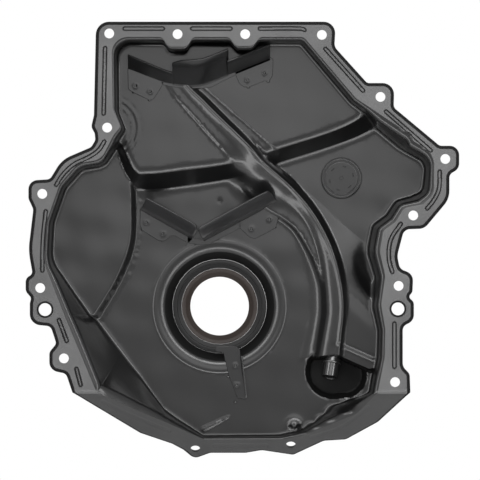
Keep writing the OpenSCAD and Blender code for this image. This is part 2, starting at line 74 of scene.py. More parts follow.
def paint(name, base, rough, gloss, coat, bump_scale=900.0, bump=0.02, spread=0.08):
    # gloss is the specular level, bump a depth in mm, spread the share by which the colour varies
    m = bpy.data.materials.new(name)
    m.use_nodes = True
    nt = m.node_tree
    bsdf = nt.nodes["Principled BSDF"]
    bsdf.inputs["Coat Weight"].default_value = coat
    bsdf.inputs["Coat Roughness"].default_value = 0.13
    bsdf.inputs["Specular IOR Level"].default_value = gloss
    geo = nt.nodes.new("ShaderNodeTexCoord")
    wide = nt.nodes.new("ShaderNodeTexNoise")
    wide.inputs["Scale"].default_value = 22.0
    wide.inputs["Detail"].default_value = 5.0
    fine = nt.nodes.new("ShaderNodeTexNoise")
    fine.inputs["Scale"].default_value = bump_scale
    fine.inputs["Detail"].default_value = 3.0
    nt.links.new(geo.outputs["Object"], wide.inputs["Vector"])
    nt.links.new(geo.outputs["Object"], fine.inputs["Vector"])
    ramp = nt.nodes.new("ShaderNodeValToRGB")
    ramp.color_ramp.elements[0].position = 0.3
    ramp.color_ramp.elements[1].position = 0.72
    lo = [c * (1 - spread) for c in base] + [1]
    hi = [c * (1 + spread) for c in base] + [1]
    ramp.color_ramp.elements[0].color = lo
    ramp.color_ramp.elements[1].color = hi
    nt.links.new(wide.outputs["Fac"], ramp.inputs["Fac"])
    nt.links.new(ramp.outputs["Color"], bsdf.inputs["Base Color"])
    mr = nt.nodes.new("ShaderNodeMapRange")
    mr.inputs["To Min"].default_value = rough * 0.85
    mr.inputs["To Max"].default_value = rough * 1.2
    nt.links.new(wide.outputs["Fac"], mr.inputs["Value"])
    nt.links.new(mr.outputs["Result"], bsdf.inputs["Roughness"])
    bp = nt.nodes.new("ShaderNodeBump")
    bp.inputs["Strength"].default_value = 0.35
    bp.inputs["Distance"].default_value = bump / 1000
    nt.links.new(fine.outputs["Fac"], bp.inputs["Height"])
    nt.links.new(bp.outputs["Normal"], bsdf.inputs["Normal"])
    return m


GRAIN = {"bump_scale": 1300.0, "bump": 0.1}       # the duller, grainier paint of the flanges
MAT = {
    "shell": paint("gloss_black_paint", (0.0042, 0.0042, 0.0043), 0.30, 0.24, 0.34),
    # the flanges' grainy paint, many times lighter than the pan's black: the grain is real, the lighter
    # colour is painted light for the open flange against the sunken floor
    "flange": paint("flange_paint_painted_light", (0.064, 0.064, 0.0644), 0.42, 0.3, 0.1, spread=0.22, **GRAIN),
    # a darker copy of the flange's paint: painted shade, since the folded sump flange turns down away from
    # the light
    "fold": paint("folded_flange_painted_shade", (0.026, 0.026, 0.0262), 0.42, 0.25, 0.1, spread=0.2, **GRAIN),
    # matt black that hardly reflects: the rolled edge and the collars, and painted shade in the bowl and on
    # the seal well's deep wall
    "matt": paint("matt_black_edge_and_recess_shade", (0.004, 0.004, 0.004), 0.5, 0.08, 0.0),
    "baffle": paint("gloss_black_paint_baffle", (0.0052, 0.0052, 0.0054), 0.30, 0.24, 0.32),
    # a lighter copy of the baffles' gloss black: painted light on the lower baffle's walls
    "low_baffle_lit": paint("gloss_black_paint_lower_baffle_painted_light", (0.019, 0.019, 0.0195), 0.3, 0.24, 0.32),
    "case": paint("black_seal_case", (0.004, 0.004, 0.0041), 0.3, 0.16, 0.1, bump_scale=1400.0),
    "lip": paint("seal_lip_rubber", (0.018, 0.0135, 0.0115), 0.42, 0.22, 0.0, bump_scale=1600.0),
    "plug": paint("plug_paint", (0.0042, 0.0042, 0.0043), 0.3, 0.22, 0.25),
    "tube": paint("tube_paint", (0.008, 0.008, 0.008), 0.22, 0.4, 0.5),
}


# ---------- mesh helpers ----------

def make(name, points, faces, mat, sharp=SHARP, node=None, slot=None):
    me = bpy.data.meshes.new(name)
    me.from_pydata(world(points).tolist(), [], [list(map(int, f)) for f in faces])
    me.validate()
    ob = bpy.data.objects.new(name, me)
    bpy.context.scene.collection.objects.link(ob)
    me.materials.append(mat)
    me.shade_smooth()
    me.set_sharp_from_angle(angle=math.radians(sharp))
    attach(ob, "root")
    if node:
        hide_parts(node)
    return ob


def weld(points, faces, tags=None, tol=1e-3):
    points = np.asarray(points, float)
    key = np.round(points / tol).astype(np.int64)
    _, first, inv = np.unique(key, axis=0, return_index=True, return_inverse=True)
    inv = inv.ravel()
    out, kept = [], []
    for n, f in enumerate(faces):
        g = [int(inv[i]) for i in f]
        g = [v for k, v in enumerate(g) if v != g[k - 1]]
        if len(g) >= 3 and len(set(g)) == len(g):
            out.append(g)
            kept.append(tags[n] if tags else 0)
    return (points[first], out, kept) if tags else (points[first], out)


def merged(parts):
    pts, faces, base = [], [], 0
    for p, f in parts:
        pts.append(np.asarray(p, float))
        faces += [[i + base for i in g] for g in f]
        base += len(p)
    return np.vstack(pts), faces


def band(rings, closed=True, flip=False):
    # quads between rings of equal length; ring k+1 lies outside or below ring k
    n = len(rings[0])
    pts = np.vstack(rings)
    faces = []
    for k in range(len(rings) - 1):
        for i in range(n if closed else n - 1):
            j = (i + 1) % n
            q = [k * n + i, k * n + j, (k + 1) * n + j, (k + 1) * n + i]
            faces.append(q[::-1] if flip else q)
    return pts, faces


def crosses(pts, poly):
    # points inside a closed polygon
    x, y = pts[:, 0], pts[:, 1]
    inside = np.zeros(len(pts), bool)
    a, b = poly, np.roll(poly, -1, 0)
    for (x0, y0), (x1, y1) in zip(a, b):
        if y0 == y1:
            continue
        hit = (y0 > y) != (y1 > y)
        inside ^= hit & (x < (x1 - x0) * (y - y0) / (y1 - y0) + x0)
    return inside


def near(pts, poly, closed=True):
    # distance of points from a polyline
    a = poly if closed else poly[:-1]
    b = np.roll(poly, -1, 0) if closed else poly[1:]
    best = np.full(len(pts), 1e9)
    for p, q in zip(a, b):
        d = q - p
        t = np.clip(((pts - p) @ d) / max(1e-12, d @ d), 0, 1)
        best = np.minimum(best, np.hypot(*(pts - p - t[:, None] * d).T))
    return best


def clear_of(pts, others, gap):
    # the points that lie further than a gap from all others
    tree = kdtree.KDTree(len(others))
    for i, (x, y) in enumerate(others):
        tree.insert((x, y, 0), i)
    tree.balance()
    return pts[[tree.find((x, y, 0))[2] > gap for x, y in pts]]


def triangulate(loops, extra, keep_out=0.6):
    # loops[0] is the outer boundary, the others are holes; extra are free points inside
    ok = crosses(extra, loops[0]) & (near(extra, loops[0]) > keep_out)
    for h in loops[1:]:
        ok &= ~crosses(extra, h) & (near(extra, h) > keep_out)
    extra = extra[ok]
    pts = np.vstack(loops + [extra])
    edges, base = [], 0
    for lp in loops:
        n = len(lp)
        edges += [(base + i, base + (i + 1) % n) for i in range(n)]
        base += n
    _, _, f, ov, _, _ = delaunay_2d_cdt([Vector(p) for p in pts.tolist()], edges, [], 0, 1e-7)
    back = [o[0] if o else -1 for o in ov]
    tri = np.array([[back[i] for i in t] for t in f if len(t) == 3 and min(back[i] for i in t) >= 0])
    mid = pts[tri].mean(1)
    good = crosses(mid, loops[0])
    for h in loops[1:]:
        good &= ~crosses(mid, h)
    tri = tri[good]
    a, b, c = pts[tri[:, 0]], pts[tri[:, 1]], pts[tri[:, 2]]
    area = (b[:, 0] - a[:, 0]) * (c[:, 1] - a[:, 1]) - (b[:, 1] - a[:, 1]) * (c[:, 0] - a[:, 0])
    tri[area < 0] = tri[area < 0][:, ::-1]
    return pts, tri[np.abs(area) > 1e-9]


def hexgrid(x0, x1, y0, y1, step):
    rows = []
    h = step * math.sqrt(3) / 2
    for k, y in enumerate(np.arange(y0, y1, h)):
        x = np.arange(x0 + (step / 2 if k % 2 else 0), x1, step)
        rows.append(np.stack([x, np.full(len(x), y)], 1))
    return np.vstack(rows)


def circle(c, r, n, clockwise=False):
    a = np.linspace(0, 2 * math.pi, n, endpoint=False) * (-1 if clockwise else 1)
    return np.stack([c[0] + r * np.cos(a), c[1] + r * np.sin(a)], 1)


def smooth01(t):
    t = np.clip(t, 0, 1)
    return t * t * (3 - 2 * t)


def slope01(t, f=0.28):
    # straight slope with a fillet of share f at either end
    t = np.clip(t, 0, 1)
    m = 1 / (1 - f)
    lo = m * t * t / (2 * f)
    mid = m * (t - f / 2)
    hi = 1 - m * (1 - t) ** 2 / (2 * f)
    return np.where(t < f, lo, np.where(t > 1 - f, hi, mid))


# ---------- outlines ----------
# corners of the outlines: x, y, radius
RIM = [[-88.5, 204.5, 9.5], [83.5, 204.5, 9.5], [82.5, 186.5, 6.5], [106, 160.5, 3.5], [125.5, 160.5, 10],
       [125, 143, 4.5], [158, 115.5, 4.5], [172, 115.5, 10], [172, 99, 7], [165, 95, 4.5],
       [165, 77.5, 16], [147, 56, 8.5], [132.5, 55.5, 5.5], [127.5, 36.5, 14], [129.5, 27.2, 5.5],
       [139, 23.5, 7], [138.5, 10.5, 4.5], [135.5, 7, 3.5], [139.5, 3.5, 4.5], [139.5, -10, 8],
       [131.5, -14, 5], [131.5, -43, 7], [136.5, -48, 5], [137, FOLD_Y, 0], [114.5, -83, 11],
       [91.5, -96, 7], [75.5, -97, 7], [53.5, -107.5, 5.5], [30.5, -104, 11], [19, -106, 7],
       [-6.5, -106, 5.5], [-18.5, -110.4, 7], [-26.5, -103.6, 5.5], [-34.5, -99.2, 7], [-57.5, -91.2, 11],
       [-105.5, FOLD_Y, 0], [-110, -48, 4.5], [-122, -45.5, 8.5], [-122, -32.5, 5.5], [-117, -26.5, 3.5],
       [-121, -14, 4.5], [-136, -12.5, 10], [-136, 2.5, 5.5], [-135, 6.5, 3], [-139, 11, 5.5],
       [-139, 20.5, 5.5], [-134, 23.5, 3.5], [-137, 40.5, 43], [-133.5, 70, 5.5], [-137, 77.5, 5.5],
       [-137, 90.5, 8.5], [-121.5, 91.5, 4.5], [-113, 105.5, 21.5], [-92, 114.5, 5.5], [-89, 119.5, 4.5],
       [-89.5, 124.5, 3.5], [-92, 129, 5.5], [-90, 137.5, 7]]
MOUTH = [[-77.5, 193.5, 11.5], [-41, 193.5, 4.5], [-37, 186.5, 5.5], [-23, 186.5, 5.5], [-19, 193.5, 4.5],
         [7, 193.5, 4.5], [11.5, 187, 5.5], [24, 187, 5.5], [29, 193.5, 4.5], [60.5, 193.5, 5],
         [98, 149.5, 7], [137, 123.5, 3.5], [139, 119, 4.5], [154, 109.5, 14.5], [154, 81, 11.5],
         [146, 73.5, 4.5], [132.5, 71, 7], [126.5, 61, 5.5], [117.5, 54.5, 5.5], [115, 39.5, 16],
         [119, 22, 10], [116, 1.5, 14.5], [119, -16.5, 14.5], [118.5, -36.5, 14.5], [113.5, FOLD_Y, 2],
         [98.5, -77, 7], [62, -92.5, 7], [46.5, -96, 5.5], [-11, -96, 7], [-37, -84, 7],
         [-57, -75.5, 7], [-88, FOLD_Y, 2], [-111, -6.5, 14.5], [-126, 32, 28.5], [-124, 61, 21.5],
         [-114.5, 88, 14.5], [-101.5, 103, 11], [-85, 105.5, 11], [-76, 123, 4.5], [-71, 129, 3],
         [-76.5, 142, 5.5]]
FOOT = [[-68.5, 184.5, 8.5], [-38.5, 184, 3.5], [-34.5, 178.5, 4.5], [-25.5, 178.5, 4.5], [-21.5, 184, 3.5],
        [9, 184, 3.5], [14, 179, 4.5], [22, 179, 4.5], [27, 184, 3.5], [56.5, 184, 4.5],
        [90.5, 143, 7], [127, 112.5, 7], [131, 110, 7], [146.5, 101.5, 7], [143.5, 83.5, 5.5],
        [136, 81, 5.5], [125, 78, 7], [118, 67.5, 5.5], [108, 60, 7], [103.5, 39.5, 21.5],
        [110, 20, 14.5], [106, -1.5, 14.5], [110, -18, 14.5], [109.5, -38, 11], [105, -64, 5.5],
        [79, -70.5, 5.5], [59, -87, 5.5], [41.5, -91.5, 4.5], [-12, -92.5, 3.5], [-41.5, -71, 7],
        [-57.5, -47.5, 14.5], [-69, -31, 14.5], [-89, -5, 7], [-117.5, 32, 28.5], [-116.5, 59.5, 21.5],
        [-108.5, 82.5, 14.5], [-97, 95, 8.5], [-81.5, 98, 8.5], [-68.5, 115.5, 5.5], [-64, 124.5, 5.5],
        [-68.5, 137, 7]]
BOLTS = [[-79, 196], [-30, 195.5], [18.5, 195.5], [73.5, 195], [115.5, 150.5], [162, 106],
         [139, 65.5], [128.5, 15], [126, -54], [-111.5, -37], [-128.5, 13.5], [-127, 81], [-80.5, 128.5]]
SUMP_HOLES = [[51.5, -100], [-17.5, -103]]
DOWELS = [[128, -1.5], [-125, -2]]
PLUG = (88, 92.5)
BEADS = [
    [[-68, 199.5], [-40.5, 199.5]],
    [[-19.5, 199.5], [8, 199.5]],
    [[29, 199.5], [56.5, 199.5], [61, 198.5]],
    [[-82, 185.5], [-83, 138.5]],
    [[-82.5, 118.5], [-87, 112], [-94.5, 107], [-104.5, 102], [-112, 95], [-117, 87.5]],
    [[-124.5, 68.5], [-126.5, 48], [-127, 26]],
    [[-115, -9.5], [-109.5, -24.5]],
    [[-102.5, -44.5], [-99.5, -56]],
    [[76, 185], [103, 155]],
    [[119.5, 140], [151.5, 112]],
    [[158, 97], [157.5, 85], [154, 77], [149, 70.5]],
    [[130, 59.5], [123.5, 49.5], [121.5, 40.5], [122, 32], [124, 25]],
    [[125.5, -12], [125.5, -43]],
    [[-84, -68], [-60, -79.5], [-36, -89.5]],
    [[-4, -100.5], [34, -100.5]],
    [[66, -94.5], [88, -86.5], [107, -72]]]


def corner(a, p, b, r, n):
    a, p, b = (np.array(q[:2], float) for q in (a, p, b))
    if r == 0:
        return np.repeat(p[None], n + 1, 0)
    u, v = (a - p) / np.linalg.norm(a - p), (b - p) / np.linalg.norm(b - p)
    half = math.acos(max(-1, min(1, u @ v))) / 2
    d = min(r / math.tan(half), 0.48 * np.linalg.norm(a - p), 0.48 * np.linalg.norm(b - p))
    w = math.sin(half)
    t = np.linspace(0, 1, n + 1)[:, None]
    wa, wp, wb = (1 - t) ** 2, 2 * w * t * (1 - t), t * t
    return (wa * (p + u * d) + wp * p + wb * (p + v * d)) / (wa + wp + wb)


def outline(c, n, counts=None, step=2.2):
    # rounded outline; counts gives the points on each straight stretch, so that two outlines match
    k = len(c)
    arcs = [corner(c[i - 1], c[i], c[(i + 1) % k], c[i][2], n) for i in range(k)]
    if counts is None:
        gaps = [np.linalg.norm(arcs[(i + 1) % k][0] - arcs[i][-1]) for i in range(k)]
        counts = [max(1, int(round(g / step))) for g in gaps]
    out = []
    for i in range(k):
        a, b = arcs[i][-1], arcs[(i + 1) % k][0]
        out.append(arcs[i])
        t = np.linspace(0, 1, counts[i] + 1)[1:-1, None]
        if len(t):
            out.append(a + (b - a) * t)
    return np.vstack(out), counts


def tidy(p, gap=0.05):
    # drops points that lie on their neighbours
    keep = [i for i in range(len(p)) if np.hypot(*(p[i] - p[i - 1])) > gap]
    return p[keep]


def normals(p):
    d = np.roll(p, -1, 0) - np.roll(p, 1, 0)
    d /= np.linalg.norm(d, axis=1)[:, None]
    return np.stack([-d[:, 1], d[:, 0]], 1)     # outwards for a clockwise outline


def face_z(y):
    # flange height, with a small radius at the fold
    e = np.asarray(y, float) - FOLD_Y
    t = math.tan(SUMP)
    bent = -t * (FOLD_R - e) ** 2 / (4 * FOLD_R)
    return np.where(e >= FOLD_R, 0.0, np.where(e <= -FOLD_R, e * t, bent))


def fold_angle(y):
    e = np.asarray(y, float) - FOLD_Y
    t = math.tan(SUMP)
    bent = t * (FOLD_R - e) / (2 * FOLD_R)
    return np.arctan(np.where(e >= FOLD_R, 0.0, np.where(e <= -FOLD_R, t, bent)))


def resample(path, step):
    p = np.array(path, float)
    if len(p) > 2:                       # Catmull-Rom through the points
        q = np.vstack([2 * p[0] - p[1], p, 2 * p[-1] - p[-2]])
        dense = []
        for i in range(1, len(q) - 2):
            t = np.linspace(0, 1, 24, endpoint=False)[:, None]
            a, b, c, d = q[i - 1], q[i], q[i + 1], q[i + 2]
            dense.append(0.5 * (2 * b + (c - a) * t + (2 * a - 5 * b + 4 * c - d) * t ** 2
                                + (3 * b - a - 3 * c + d) * t ** 3))
        p = np.vstack(dense + [p[-1:]])
    s = np.concatenate([[0], np.cumsum(np.hypot(*np.diff(p[:, :2], axis=0).T))])
    u = np.linspace(0, s[-1], max(2, int(round(s[-1] / step)) + 1))
    return np.stack([np.interp(u, s, p[:, k]) for k in range(p.shape[1])], 1)


def line_points(path, step):
    # points along straight stretches
    p = np.array(path, float)
    s = np.concatenate([[0], np.cumsum(np.hypot(*np.diff(p, axis=0).T))])
    u = np.linspace(0, s[-1], int(s[-1] / step) + 1)
    return np.stack([np.interp(u, s, p[:, k]) for k in range(2)], 1)


# ---------- floor of the pan ----------

def spline(points):
    return resample(points, 3.0)


STEP_TOP = spline([[-79, 260], [-76, 135], [-70.5, 117], [-61.5, 98], [-52, 95.5], [-28, 98], [7.5, 103],
                   [41, 113], [100.5, 135], [120, 168], [120, 260]])
STEP_FOOT = spline([[-85, 260], [-82, 135], [-76, 113], [-67, 89.5], [-55, 85], [-28, 87], [17, 94.5],
                    [42, 103.5], [109, 128], [130, 160], [130, 260]])
POCKET_EDGE = spline([[-70, 160], [-65.5, 94.5], [-64.5, 75], [-64.5, 53.5], [-67, 40], [-72.5, 26],
                      [-80, 11.5], [-100, -20]])
POCKET_FOOT = spline([[-62, 160], [-60, 94.5], [-59.5, 75], [-59.5, 53.5], [-62, 38.5], [-67.5, 24],
                      [-75, 9.5], [-95, -24]])
# stations of the ridge: x, y, crest depth, reach to the left, reach to the right
RIDGE = [[-27, 163, -32.8, 12, 4], [-20.5, 156, -32.2, 13, 4.5], [-13, 149, -31.6, 14, 5],
         [-1, 137, -31.4, 15, 5], [21, 115.5, -32.6, 18, 5], [32, 103, -37.4, 25, 5],
         [48.5, 88.5, -41.8, 27, 5], [60, 76.5, -42, 23, 5], [69.5, 63.5, -41.6, 20, 5],
         [78, 47.5, -40.8, 21, 5], [83.5, 32.5, -39.4, 22, 5], [87, 17, -38.7, 23, 5],
         [88.5, 5, -38.2, 24, 5], [88.5, -7, -38, 24, 5], [87, -20, -38, 25, 5], [85.5, -38, -38, 28, 5]]
# where the upper floor meets the ridge's facet
FACET_LINE = np.array([[-12, 160], [42.4, 112.6], [42, 103]], float)
# where the plateau starts to rise
RISE_LINE = np.array([[41.3, 103.1], [102.2, 47.9]])
# steep right side of the plateau
DROP_LINE = spline([[114, 62], [103.5, 49], [97.2, 38], [96.5, 28], [99.4, 18], [106, 8], [120, -6]])
# the end wall of the ridge
END_LINE = np.array([[40, -37], [60, -37], [84.3, -34.5], [110.1, -46], [125, -53]], float)


def signed(pts, line):
    # distance from an open line, positive to its right as it is walked
    best, sign = np.full(len(pts), 1e9), np.ones(len(pts))
    for p, q in zip(line[:-1], line[1:]):
        d = q - p
        t = np.clip(((pts - p) @ d) / (d @ d), 0, 1)
        e = pts - p - t[:, None] * d
        r = np.hypot(*e.T)
        side = np.sign(d[0] * (pts[:, 1] - p[1]) - d[1] * (pts[:, 0] - p[0]))
        m = r < best - 1e-9
        best[m], sign[m] = r[m], -side[m]
    return best * sign


def step_share(pts, top, foot, reach=5.0, soft=0.085):
    # share of a step's drop: gentle crest, steep face between the two lines, gentle foot
    a, b = signed(pts, top), signed(pts, foot)
    face = soft + (1 - 2 * soft) * np.clip(a / np.maximum(1e-6, a - b), 0, 1)
    crest = soft * np.clip((a + reach) / reach, 0, 1) ** 2
    base = 1 - soft * np.clip((reach - b) / reach, 0, 1) ** 2
    return np.where(a <= 0, crest, np.where(b >= 0, base, face))


RIDGE_LINE = resample(RIDGE, 1.5)
RIDGE_WAY = np.gradient(RIDGE_LINE[:, :2], axis=0)
RIDGE_WAY /= np.linalg.norm(RIDGE_WAY, axis=1)[:, None]
RIDGE_SIDE = np.stack([-RIDGE_WAY[:, 1], RIDGE_WAY[:, 0]], 1)      # towards the right of the picture
RIDGE_RATE = np.gradient(RIDGE_LINE, axis=0)                       # change of each value per mm
RIDGE_RATE /= np.hypot(RIDGE_RATE[:, 0], RIDGE_RATE[:, 1])[:, None]
# the ridge's lower left flank: share of its reach, share of its height
LEFT_U, LEFT_H = resample([[0, 1], [0.07, 0.985], [0.16, 0.94], [0.3, 0.86], [0.44, 0.7], [0.62, 0.28],
                           [0.74, 0.12], [0.87, 0.04], [1, 0]], 0.01).T


def two_folds(t):
    # share of the ridge's height: a fold at its foot and a rounded crest
    return 1 - 0.5 * smooth01((t - 0.8) / 0.2) - 0.5 * smooth01(t / 0.42)


def flank_share(t, soft, samples=121, levels=25):
    # two folds where soft is 1 and one steep face where it is 0; between them the folds move across
    share = np.linspace(0, 1, samples)
    folds = np.interp(share, two_folds(share)[::-1], share[::-1])
    face = np.interp(share, LEFT_H[::-1], LEFT_U[::-1])
    table = np.array([np.interp(t, (s * folds + (1 - s) * face)[::-1], share[::-1])
                      for s in np.linspace(0, 1, levels)])
    level = np.clip(soft, 0, 1) * (levels - 1)
    low = np.minimum(level.astype(int), levels - 2)
    here = np.arange(len(t))
    return table[low, here] + (table[low + 1, here] - table[low, here]) * (level - low)


def smax(a, b, k):
    # rounded maximum of two heights
    h = np.clip(0.5 + 0.5 * (a - b) / k, 0, 1)
    return b + (a - b) * h + k * h * (1 - h)


def waviness(x, y):
    # the slight unevenness of pressed sheet
    return (0.10 * np.sin(x / 9.1 + 0.6 * np.sin(y / 13.0)) * np.sin(y / 11.3 + 1.1)
            + 0.07 * np.sin((x + y) / 6.3 + 0.8) * np.sin((x - 0.7 * y) / 8.7))


def rib_and_lump(x, y):
    # small pressed rib and the lump beside the right sump hole
    u = ((x + 13.2) * 21.5 + (y + 89.8) * 10.8) / 578.9
    v = np.abs((x + 13.2) * 10.8 - (y + 89.8) * 21.5) / 24.06
    wide = 2.3 - 1.8 * np.clip(u, 0, 1)
    rib = 0.8 * (1 - smooth01(v / wide)) * smooth01(u / 0.06) * (1 - smooth01((u - 0.9) / 0.1))
    lump = 2.6 * np.exp(-((x - 54) ** 2 + (y + 85.8) ** 2) / 17)
    for hole in (51, 57.4):
        lump = lump - 2.2 * np.exp(-((x - hole) ** 2 + (y + 87.6) ** 2) / 2.2)
    return rib + lump


def floor_z(pts):
    pts = np.asarray(pts, float)
    x, y = pts[:, 0], pts[:, 1]
    up = MAIN + (UPPER - MAIN) * (1 - step_share(pts, STEP_TOP, STEP_FOOT))
    drop = step_share(pts, POCKET_EDGE[::-1], POCKET_FOOT[::-1], 2.0, 0.06)
    po = MAIN + (POCKET - MAIN) * (1 - slope01(drop, 0.3))
    z = np.where(x < -40, smax(up, po, 0.8) - 0.2 * (np.abs(up - po) < 1e-9), up)
    z = np.maximum(z, MAIN)
    # nearest station of the ridge, then the distance across it, positive to the right, and along it
    i = np.empty(len(pts), int)
    for s in range(0, len(pts), 4000):
        d = np.linalg.norm(pts[s:s + 4000, None] - RIDGE_LINE[None, :, :2], axis=2)
        i[s:s + 4000] = d.argmin(1)
    st = RIDGE_LINE[i]
    off = pts - st[:, :2]
    lat = (off * RIDGE_SIDE[i]).sum(1)
    along = (off * np.stack([RIDGE_SIDE[i][:, 1], -RIDGE_SIDE[i][:, 0]], 1)).sum(1)
    st = st + np.clip(along, -1.5, 1.5)[:, None] * RIDGE_RATE[i]
    crest = st[:, 2]
    # beside the ridge the step runs out into a long slope
    beside = smooth01((lat + 34) / 26) * (1 - smooth01((lat - 4) / 2)) * smooth01((x - 2) / 12)
    long = MAIN + (UPPER - MAIN) * (1 - smooth01((signed(pts, STEP_TOP) + 18) / 60))
    z = z + (long - z) * beside
    # right of the crest lie the facet and the plateau
    d = RISE_LINE[1] - RISE_LINE[0]
    rise = ((pts - RISE_LINE[0]) @ np.array([d[1], -d[0]])) / np.hypot(*d)
    flat = np.clip(PLATEAU_SLOPE * rise, 0, PLATEAU_TOP)
    flat = flat - 0.5 * np.exp(-((PLATEAU_SLOPE * rise - PLATEAU_TOP) / 1.2) ** 2)
    flat = np.maximum(flat, 0) * (1 - slope01(-signed(pts, DROP_LINE) / 10.0, 0.15))
    step = 0.7 * smooth01(signed(pts, FACET_LINE) / 0.9) * np.clip((up - MAIN) / (UPPER - MAIN), 0, 1)
    near_ridge = 1 - smooth01((lat - 26) / 6)
    right = np.maximum(z - step * near_ridge, MAIN + flat)
    t = np.clip((lat - 0.5) / (st[:, 4] - 0.5), 0, 1)
    zr = right + np.maximum(crest - right, 0) * (1 - slope01(t, 0.25))
    # left of the crest the flank has two folds, further down one steep face
    soft = np.maximum(np.clip((z - MAIN) / 6, 0, 1), smooth01((y - 10) / 60))
    t = np.clip((-lat - 0.8) / (st[:, 3] - 0.8), 0, 1)
    crossing = np.exp(-((y - 92) / 15) ** 2)
    share = flank_share(t, soft) * (1 - crossing) + (1 - smooth01(t)) * crossing
    zl = z + np.maximum(crest - z, 0) * share
    rel = np.where(lat > 0, zr, zl) - z + CREST_BEAD * (1 - smooth01(np.abs(lat) / 2.4))
    rel = rel * np.where(i == 0, 1 - smooth01(-along / 9.0), 1.0)
    # the ridge ends at the wall that the guide tube passes
    end = signed(pts, END_LINE)
    rel = rel - 1.7 * smooth01((end + 10) / 5) * smooth01((lat + 7) / 9) * np.clip(rel / 6, 0, 1)
    rel = rel * (1 - slope01(end / 3.0, 0.25))
    # ripples around a bolt hole and a small pip in the floor
    r = np.hypot(x + 80.5, y - 128.5)
    ripple = 0.16 * np.exp(-((r - 20) / 4.5) ** 2) * np.sin(r * 1.5) * (x > -70)
    pip = 0.6 * np.exp(-((x - 0.1) ** 2 + (y - 75.9) ** 2) / 1.1)
    calm = 1 - np.clip(rel / 2, 0, 1)
    return z + rel + ripple - pip + rib_and_lump(x, y) + waviness(x, y) * calm


def bowl_distance(pts):
    # distance from the bowl's edge, made of two blended circles; negative inside
    d1 = np.hypot(pts[:, 0] - 82, pts[:, 1] + 47) - 19.5
    d2 = np.hypot(pts[:, 0] - 90, pts[:, 1] + 50) - 16
    k = 1.5
    h = np.clip(0.5 + 0.5 * (d2 - d1) / k, 0, 1)
    return d2 + (d1 - d2) * h - k * h * (1 - h)


def with_bowl(pts, z):
    d = bowl_distance(pts)
    deep = BOWL - MAIN
    t = slope01(np.clip(-(d - 0.8) / 4.2, 0, 1), 0.35)
    return z + deep * t * np.clip(1 - (z - MAIN - 0.5) / 4.0, 0, 1)


# ---------- the pressed shell ----------

def around(v, k):
    # average over 2k + 1 neighbours of a closed loop
    return sum(np.roll(v, i, 0) for i in range(-k, k + 1)) / (2 * k + 1)


def wall_rings():
    mouth, counts = outline(MOUTH, 7)
    foot, _ = outline(FOOT, 7, counts)
    z0 = face_z(mouth[:, 1])
    end = foot.copy()
    zf = np.full(len(end), MAIN)
    for _ in range(5):
        zf = around(floor_z(end), 1)
        v = np.clip((zf - z0) / (MAIN - z0), 0.3, 1)[:, None]
        end = mouth + (foot - mouth) * v
    zf = floor_z(end)
    run = np.hypot(*(end - mouth).T)
    depth = z0 - zf
    steep = np.arctan2(depth, run)
    # shares of run and depth that the rounding takes, at the mouth (a, b) and at the foot (a2, b2)
    a, b, a2, b2 = [w[:, None] for r in (MOUTH_ROUND, FOOT_ROUND)
                    for w in (np.minimum(0.45, r * (1 + np.cos(steep)) / run),
                              np.minimum(0.3, r * np.sin(steep) / depth))]
    slope = (1 - b - b2) / (1 - a - a2)
    c, c2 = np.clip(a - b / slope, 0, a), np.clip(a2 - b2 / slope, 0, a2)
    uv = []
    for t in (0, 0.17, 0.33, 0.5, 0.67, 0.83, 1.0):
        uv.append((2 * t * (1 - t) * c + t * t * a, t * t * b))
    uv.append((a + (1 - a - a2) / 2, b + (1 - b - b2) / 2))
    for t in (1.0, 0.83, 0.67, 0.5, 0.33, 0.17, 0):
        uv.append((1 - 2 * t * (1 - t) * c2 - t * t * a2, 1 - t * t * b2))
    rings = []
    along = np.arctan2(mouth[:, 1], mouth[:, 0])
    fluted = smooth01((end[:, 0] - 60) / 5) * (1 - smooth01((end[:, 0] - 96) / 8)) * (end[:, 1] < -60)
    wave = 1.3 * np.sin(along * 52) + 0.8 * np.sin(along * 33)
    for u, v in uv:
        p = mouth + (end - mouth) * u
        flute = (4 * u[:, 0] * (1 - u[:, 0])) ** 2 * fluted * wave
        rings.append(np.column_stack([p, z0 - depth * v[:, 0] + flute]))
    return rings


def seal_well_rings(n=168):
    # the dish around the seal and the well's wall: radius and height over the main floor
    prof = [(WELL_R, 0), (48.2, 0.08), (47.7, 0.28), (47.3, 0.34), (45.8, 0.34)]
    curve = np.radians([6, 12, 18, 24, 30])
    prof += [(45.8 - 12 * math.sin(a), 0.34 - 12 * (1 - math.cos(a))) for a in curve]
    prof += [(39.2, -1.75), (38.85, -2.3), (38.6, -2.9), (34.9, -8.7), (34.45, -9.3), (34.05, -10.2),
             (34.05, -17.9)]
    return [np.column_stack([circle((0, 0), r, n), np.full(n, MAIN + z)]) for r, z in prof]


EDGE_PART, FLANGE_PART = 3, 4       # the order in which shell() makes these surfaces
SHELL_SLOT, LIT_FLANGE_SLOT, MATT_SLOT, FOLD_SHADE_SLOT = 0, 1, 3, 4
BACK_OFFSET = 2                     # the side behind takes the material two slots further on


